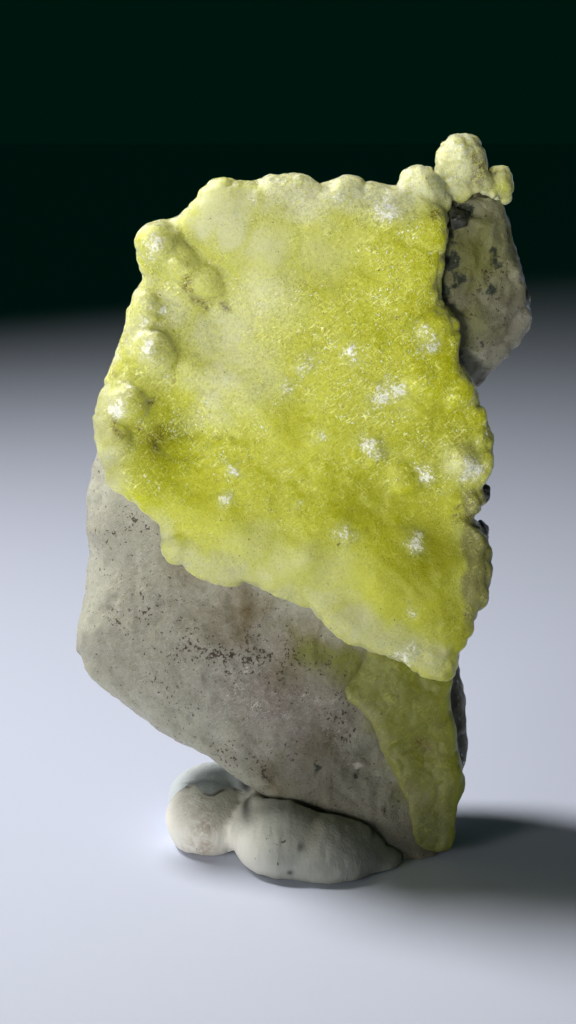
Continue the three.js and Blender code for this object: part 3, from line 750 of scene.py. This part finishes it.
# Painted shade: the rock darkened toward its foot, down its right side and on the shoulder.
DAMP_PLACES = [
    (3.0, 9.0, 6.0, 0.75), (-4.0, 10.0, 4.0, 0.3), (8.0, 4.0, 5.0, 0.5), (4.0, 18.0, 4.0, 0.5),
    (14.0, 1.0, 4.0, 0.8), (17.5, 62.8, 6.0, 0.75), (20.8, 54.6, 3.4, 0.8), (22.3, 57.6, 3.4, 1.0),
    (15.5, 16.0, 2.4, 1.0), (16.0, 11.0, 2.4, 1.0), (22.0, 51.0, 3.4, 0.8), (16.8, 18.0, 2.4, 1.0),
    (17.0, 12.7, 2.6, 1.0), (16.9, 8.0, 2.4, 1.0),
]
WASH_PLACES = [
    (2.8, 21.7, 2.4, 1.0), (5.4, 19.1, 2.0, 1.0), (0.7, 22.8, 1.6, 0.9), (1.8, 22.8, 1.8, 0.9),
    (4.4, 21.2, 2.2, 1.0), (7.5, 19.9, 2.2, 1.0), (3.3, 19.6, 1.6, 0.7), (10.2, 18.0, 2.0, 1.0),
    (8.1, 14.8, 1.6, 0.7), (9.7, 10.5, 1.6, 0.6), (11.1, 6.2, 1.6, 0.6), (-0.3, 24.1, 1.4, 0.6),
    (4.6, 21.8, 1.6, 1.0), (3.8, 19.8, 1.8, 1.0), (18.0, 63.3, 5.0, 0.8), (16.6, 56.1, 3.6, 0.6),
]
SPRAY_PLACES = [
    (-6.1, 20.7, 1.2, 1.0), (-7.1, 18.2, 1.4, 0.9), (-4.8, 16.5, 1.4, 0.9), (-1.4, 15.6, 1.4, 0.8),
    (0.3, 18.0, 1.4, 0.9), (2.8, 13.2, 1.6, 1.0), (4.4, 10.0, 1.6, 1.0), (1.6, 10.3, 1.4, 0.8),
    (5.2, 7.3, 1.2, 0.7), (-2.4, 18.0, 1.2, 0.7), (-8.2, 14.8, 1.2, 0.6), (-3.5, 12.1, 1.4, 0.6),
    (3.3, 18.0, 1.2, 0.7), (-10.8, 21.2, 1.2, 0.5), (6.6, 4.6, 1.2, 0.6),
]
# White marks, partly veins and partly painted glints.
VEIN_PLACES = [
    (5.5, 10.0, 0.9, 1.0), (4.7, 9.2, 0.6, 0.8), (3.1, 20.3, 0.5, 0.7), (0.3, 18.0, 0.5, 0.6),
    (16.1, 68.1, 0.9, 1.0), (15.0, 67.6, 0.6, 0.7), (21.0, 58.2, 1.0, 0.6), (21.5, 56.1, 0.8, 0.5),
]

ROCK_CLOUDS = [
    # size in mm, detail, roughness, distortion
    (9.0, 4, 0.55, 0),          # drift: paler and browner rock
    (0.5, 5, 0.75, 0),          # grain: its sugary grains
    (3.0, 4, 0.6, 0),           # cluster: where specks crowd together
    (0.4, 3, 0.65, 0.3),        # spots: the specks themselves
]
ROCK_NEEDLES = [
    # Width in mm, slant, and the noise where a needle starts and where it is full. The real
    # needles of the sprays are finer; these are as coarse as they need to be to show.
    (0.15, 1.0, 0.58, 0.66),
    (0.13, -0.5, 0.6, 0.68),
]
ROCK_GRAIN = 0.3                # the grains whose faces gleam


def rock_relief(points, normals):
    """Broken rock: low swells, sugary grain, and ledges that are sharpest on the fresh break."""
    loose = warped(points, 5, 1.2, 90)
    broken = stepped(points[:, 0], *BREAK) * stepped(points[:, 2], *BREAK_HEIGHT)
    ledges = np.abs(layered(warped(points, 4, 1.0, 96), 3.2, 94, 3))
    return (0.3 * layered(points, 7, 91, 4) + 0.15 * heads(loose, 1.6, 92)
            + 0.1 * layered(points, 0.9, 93, 2) + (0.2 + 0.3 * broken) * (0.35 - ledges))


def sugary_rock():
    """Granular carbonate rock, broken rough: sugary, see-into grains with dark mineral specks."""
    material, tree = blank_material("sugary_rock")
    place = add(tree, "TexCoord").outputs["Object"]
    drift, grain, cluster, spots = (
        add(tree, "TexNoise", {
            "Vector": place, "Scale": per_metre(size), "Detail": detail, "Roughness": roughness,
            "Distortion": distortion,
        })
        for size, detail, roughness, distortion in ROCK_CLOUDS
    )
    rising, falling = (strokes(tree, place, *needles) for needles in ROCK_NEEDLES)
    needles = add(tree, "Math", (rising, falling), operation="MAXIMUM")
    sprayed = add(tree, "Math", ("sprays", 0.3), operation="MAXIMUM")
    crowded = add(tree, "MapRange", (cluster, 0.5, 0.65, 0, 0.05), **EASED)
    crowded = add(tree, "Math", ("specked", 0.12, crowded), operation="MULTIPLY_ADD")
    specks = add(tree, "Math", (spots, crowded), operation="ADD")
    greens = add(tree, "Math", (grain, 1.6, "green"), operation="MULTIPLY_ADD")
    veins = add(tree, "Math", (grain, 0.9, "vein"), operation="MULTIPLY_ADD")

    colour = coated(tree, "#b0b09e", [
        ("#9f9c8a", add(tree, "MapRange", (drift, 0.35, 0.65), **EASED)),
        ("#8f857c", "rosy"),
        ("#e8e5dc", needles, sprayed, 0.9),
        ("#c4c2b6", add(tree, "MapRange", (grain, 0.4, 0.7, 0, 0.35), **EASED)),
        ("#6a5826", "brown", add(tree, "MapRange", (grain, 0.3, 0.7, 1, 0.7), **EASED)),
        # painted shade
        ("#463f20", "damp", 0.85),
        ("#777a24", "wash"),
        ("#3a2408", add(tree, "MapRange", (specks, 0.64, 0.69, 0, 0.9), **EASED)),
        ("#222c12", add(tree, "MapRange", (greens, 1.25, 1.65), **EASED)),
        # white veins, partly painted glints
        ("#ddd8cc", add(tree, "MapRange", (veins, 1.1, 1.5, 0, 0.7), **EASED)),
    ])

    grainy = add(tree, "Bump", {"Strength": 0.8, "Distance": 0.25 * MM, "Height": grain})
    gritty = add(tree, "Bump", {
        "Strength": 0.6, "Distance": 0.06 * MM, "Height": needles, "Normal": grainy,
    })
    cells = add(tree, "TexVoronoi", {"Vector": place, "Scale": per_metre(ROCK_GRAIN)})
    cells = cells.outputs["Color"]
    chance = add(tree, "SeparateColor", {"Color": cells})
    gleam = add(tree, "MapRange", (chance, 0.85, 0.9), **EASED)
    shader = add(tree, "BsdfPrincipled", {
        "Base Color": colour,
        "Roughness": 0.5,
        "IOR": 1.6,
        "Specular IOR Level": 0.35,
        "Normal": gritty,
        "Subsurface Weight": 0.8,
        "Subsurface Radius": (1, 0.95, 0.8),
        "Subsurface Scale": 1 * MM,
        "Coat Weight": add(tree, "MapRange", (gleam, 0, 1, 0.1, 1), **EASED),
        "Coat Roughness": 0.15,
        "Coat IOR": 1.7,
        "Coat Normal": faceted(tree, cells, 1.2, gritty, gleam),
    })
    add(tree, "OutputMaterial", {"Surface": shader})
    return material


def make_rock():
    piece = refined("matrix_rock", "matrix_rock_surface", ROCK_VOXEL, 2, 1)
    sculpt(piece, rock_relief)
    points, normals = surface_of(piece)
    front = 1 - stepped(normals[:, 1], 0.0, 0.5)
    loose = warped(points, 2.4, 1.4, 95)
    ragged = warped(points, 0.9, 0.5, 97)
    rayed = warped(points, 1.5, 0.8, 98)
    paint(
        piece,
        brown=front * spotted(loose, BROWN_PLACES),
        rosy=front * spotted(loose, ROSY_PLACES),
        specked=front * spotted(loose, SPECKED_PLACES),
        green=front * spotted(ragged, GREEN_PLACES),
        vein=front * spotted(ragged, VEIN_PLACES),
        sprays=front * spotted(rayed, SPRAY_PLACES),
        wash=front * spotted(loose, WASH_PLACES),
        damp=front * spotted(loose, DAMP_PLACES),
    )
    dress(piece, sugary_rock(), "matrix", "matrix_rock")


# ---- Serpentine grains --------------------------------------------------------------------

GRAIN_NODES = ("serpentine_grain_upper", "serpentine_grain_lower", "serpentine_grain_crest")
GRAIN_VOXEL = 0.12
GRAIN_DRIFT = 0.8               # darker and greener patches
GRAIN_CHIPS = 1.1
GRAIN_FACET = 0.4               # the small faces that shine wet


def grain_relief(points, normals):
    """Chips and hollows where the grain broke."""
    return 0.25 * layered(points, GRAIN_CHIPS, 110, 3)


def glassy_serpentine():
    """Serpentine, broken: near black in the mass, greenish grey where it is thin, with a wet shine."""
    material, tree = blank_material("glassy_serpentine")
    place = add(tree, "TexCoord").outputs["Object"]
    drift = add(tree, "TexNoise", {
        "Vector": place, "Scale": per_metre(GRAIN_DRIFT), "Detail": 4, "Roughness": 0.7,
    })
    colour = coated(tree, "#141b16", [
        ("#45473a", add(tree, "MapRange", (drift, 0.35, 0.65), **EASED)),
    ])
    chipped = add(tree, "Bump", {"Strength": 0.6, "Distance": 0.2 * MM, "Height": drift})
    cells = add(tree, "TexVoronoi", {"Vector": place, "Scale": per_metre(GRAIN_FACET)})
    flat = add(tree, "MapRange", (drift, 0.3, 0.6), **EASED)
    shader = add(tree, "BsdfPrincipled", {
        "Base Color": colour,
        "Roughness": 0.28,
        "IOR": 1.56,
        "Normal": faceted(tree, cells.outputs["Color"], 0.9, chipped, flat),
    })
    add(tree, "OutputMaterial", {"Surface": shader})
    return material


def make_grains():
    serpentine = glassy_serpentine()
    for node in GRAIN_NODES:
        piece = refined(node, node + "_surface", GRAIN_VOXEL, 2, 0)
        sculpt(piece, grain_relief)
        dress(piece, serpentine, "serpentine", node)


# ---- Putty --------------------------------------------------------------------------------

PUTTY_VOXEL = 0.4

# Where fingers have made the putty grubby, and where it has small dark spots: x, z, radius, strength.
PUTTY_STAINS = [
    (-10.9, 3.3, 1.4, 0.6), (-10.2, 1.0, 1.2, 0.6), (-12.2, 1.7, 1.0, 0.4), (1.2, 5.0, 1.0, 0.3),
]
PUTTY_PITS = [
    (-6.2, 5.9, 0.7, 1.0), (-1.4, 1.3, 0.3, 1.0), (-0.3, 3.9, 0.35, 0.8), (7.4, 3.5, 0.3, 0.8),
    (-4.3, 6.9, 0.25, 0.7),
]

# The slanting plane where the wad's back part was folded down on its front.
FOLD_HEIGHT = 5.3               # at its left end, where y is 0
FOLD_END = -13                  # the x of that end
FOLD_FALL = 0.08                # how far it falls, per mm to the right
FOLD_LEAN = 0.268               # and per mm into the depth
FOLD_NORMAL = (0, 0.259, 0.966) # square to the plane, leaving out its slight fall

PUTTY_CLOUDS = [
    # size in mm, detail, roughness
    (5.0, 4, 0.55),             # drift: paler and greyer putty
    (0.5, 4, 0.6),              # fine: the print of skin
    (0.8, 3, 0.6),              # dots: dark specks pressed in
]
DRAWN_WIDTH = 0.3               # the fine lines that rolling drew out
DRAWN_STRETCH = 8
DRAWN_SLANT = 0.05


def above_fold(points):
    """Height over the fold's plane."""
    wavy = points[:, 2] + 0.25 * layered(points * (1, 0, 0), 2, 122, 2)
    return wavy + FOLD_LEAN * points[:, 1] - FOLD_HEIGHT + FOLD_FALL * (points[:, 0] - FOLD_END)


def beside_fold(points):
    """1 on the wad's left part, 0 on its right lobe; the change is softer round the back."""
    return 1 - stepped(points[:, 0] - 1.5 * stepped(points[:, 1], -2, 3), -6.7, -6.1)


def fold_line(points, normals, width):
    """1 along the fold's edge, fading where the surface runs level with it and round the back."""
    steep = stepped(1 - np.abs(normals @ FOLD_NORMAL), 0.05, 0.25)
    front = 1 - stepped(points[:, 1], 0, 2)
    return np.exp(-(above_fold(points) / width) ** 2) * beside_fold(points) * steep * front


def putty_relief(points, normals):
    """Kneaded putty: soft lumps, fine ridges that run up and down, and the fold's crease."""
    ridges = layered(points * (3.0, 1.0, 0.35), 1.6, 121, 2)
    return 0.12 * layered(points, 4, 120, 3) + 0.04 * ridges - 0.2 * fold_line(points, normals, 0.2)


def kneaded_putty():
    """Mounting putty, rolled and pressed by hand: dead matt, grey white, grubby where touched."""
    material, tree = blank_material("kneaded_putty")
    place = add(tree, "TexCoord").outputs["Object"]
    drift, fine, dots = (
        add(tree, "TexNoise", {
            "Vector": place, "Scale": per_metre(size), "Detail": detail, "Roughness": roughness,
        })
        for size, detail, roughness in PUTTY_CLOUDS
    )
    colour = coated(tree, "#a9aba2", [
        ("#95988f", add(tree, "MapRange", (drift, 0.3, 0.7), **EASED)),
        # painted light: the wad's left part is painted lighter
        ("#f6f3e6", "clean"),
        ("#c6cdd0", "shaded"),
        ("#a4886a", "grime", add(tree, "MapRange", (fine, 0.3, 0.6), **EASED)),
        # painted shade along the fold's crease, and the small dark spots
        ("#2b2a28", "crack", 0.9),
        ("#4f4b42", add(tree, "MapRange", (dots, 0.68, 0.73), **EASED)),
    ])
    printed = add(tree, "Bump", {"Strength": 0.35, "Distance": 0.15 * MM, "Height": fine})
    drawn_out = add(tree, "Mapping", {
        "Vector": place, "Rotation": (0, DRAWN_SLANT, 0), "Scale": (1, 1, DRAWN_STRETCH),
    }, vector_type="TEXTURE")
    drawn = add(tree, "TexNoise", {
        "Vector": drawn_out, "Scale": per_metre(DRAWN_WIDTH), "Detail": 2, "Roughness": 0.5,
    })
    lined = add(tree, "Bump", {
        "Strength": 0.5, "Distance": 0.12 * MM, "Height": drawn, "Normal": printed,
    })
    shader = add(tree, "BsdfPrincipled", {
        "Base Color": colour, "Roughness": 0.8, "IOR": 1.45, "Normal": lined,
    })
    add(tree, "OutputMaterial", {"Surface": shader})
    return material


def make_putty():
    piece = refined("putty_wad", "putty_wad_surface", PUTTY_VOXEL, 3, 1)
    sculpt(piece, putty_relief)
    points, normals = surface_of(piece)
    behind = np.maximum(stepped(points[:, 1], -2.4, -0.6), stepped(above_fold(points), 0, 0.3))
    behind *= 1 - stepped(points[:, 0] - 5 * stepped(points[:, 1], -2, 3), -6.7, -5.1)
    paint(
        piece,
        grime=spotted(warped(points, 2.0, 0.8, 125), PUTTY_STAINS),
        shaded=behind,
        # painted light on the wad's left part, outside its folded-back part
        clean=(1 - stepped(points[:, 0], -8, -2)) * (1 - behind),
        # painted shade along the fold's crease, with the small dark spots
        crack=np.maximum(fold_line(points, normals, 0.15), spotted(points, PUTTY_PITS)),
    )
    dress(piece, kneaded_putty(), "putty", "putty_wad")


# ---- Stage --------------------------------------------------------------------------------

FLOOR_SIZE = 3000
LIGHTS = [
    # name, place, aim, size, watts, colour, beam in degrees
    ("key", (-165, 80, 285), (10, -20, 0), 80, 0.53, "#fffdf8", 128),
    ("left", (-310, -260, 75), (0, -8, 45), 150, 0.033, "#fffdf8", 34),
    ("front", (-110, -400, 40), (4, -5, 61), 120, 0.023, "#fffdf8", 11),
    ("back", (160, 330, 60), (0, 10, 45), 120, 0.003, "#dbe6ff", 40),
]


def pale_card():
    """Smooth pale card, matt, with a faint cool cast."""
    material, tree = blank_material("pale_card")
    shader = add(tree, "BsdfPrincipled", {"Base Color": srgb("#d9dff5"), "Roughness": 0.75})
    add(tree, "OutputMaterial", {"Surface": shader})
    return material


def add_stage():
    half = FLOOR_SIZE / 2 * MM
    mesh = bpy.data.meshes.new("floor")
    corners = [(-half, -half, 0), (half, -half, 0), (half, half, 0), (-half, half, 0)]
    mesh.from_pydata(corners, [], [(0, 1, 2, 3)])
    mesh.materials.append(pale_card())
    floor = bpy.data.objects.new("floor", mesh)
    show(floor)

    world = bpy.data.worlds.new("dark_room")
    bpy.context.scene.world = world
    world.use_nodes = True
    world.node_tree.nodes["Background"].inputs["Color"].default_value = srgb("#00150d")


def add_lights():
    for name, place, aim, size, watts, colour, beam in LIGHTS:
        data = bpy.data.lights.new(name, "AREA")
        data.shape = "DISK"
        data.size = size * MM
        data.energy = watts
        data.color = srgb(colour)[:3]
        data.spread = math.radians(beam)
        light = bpy.data.objects.new(name, data)
        light.location = metres(place)
        light.rotation_euler = (metres(place) - metres(aim)).to_track_quat("Z", "Y").to_euler()
        show(light)


def plain(box):
    """A box's corners as plain lists of numbers."""
    return [list(corner) for corner in box]


add_camera()
make_crust()
make_patch()
make_rock()
make_grains()
make_putty()
add_stage()
add_lights()
bpy.context.scene.view_settings.view_transform = "Standard"
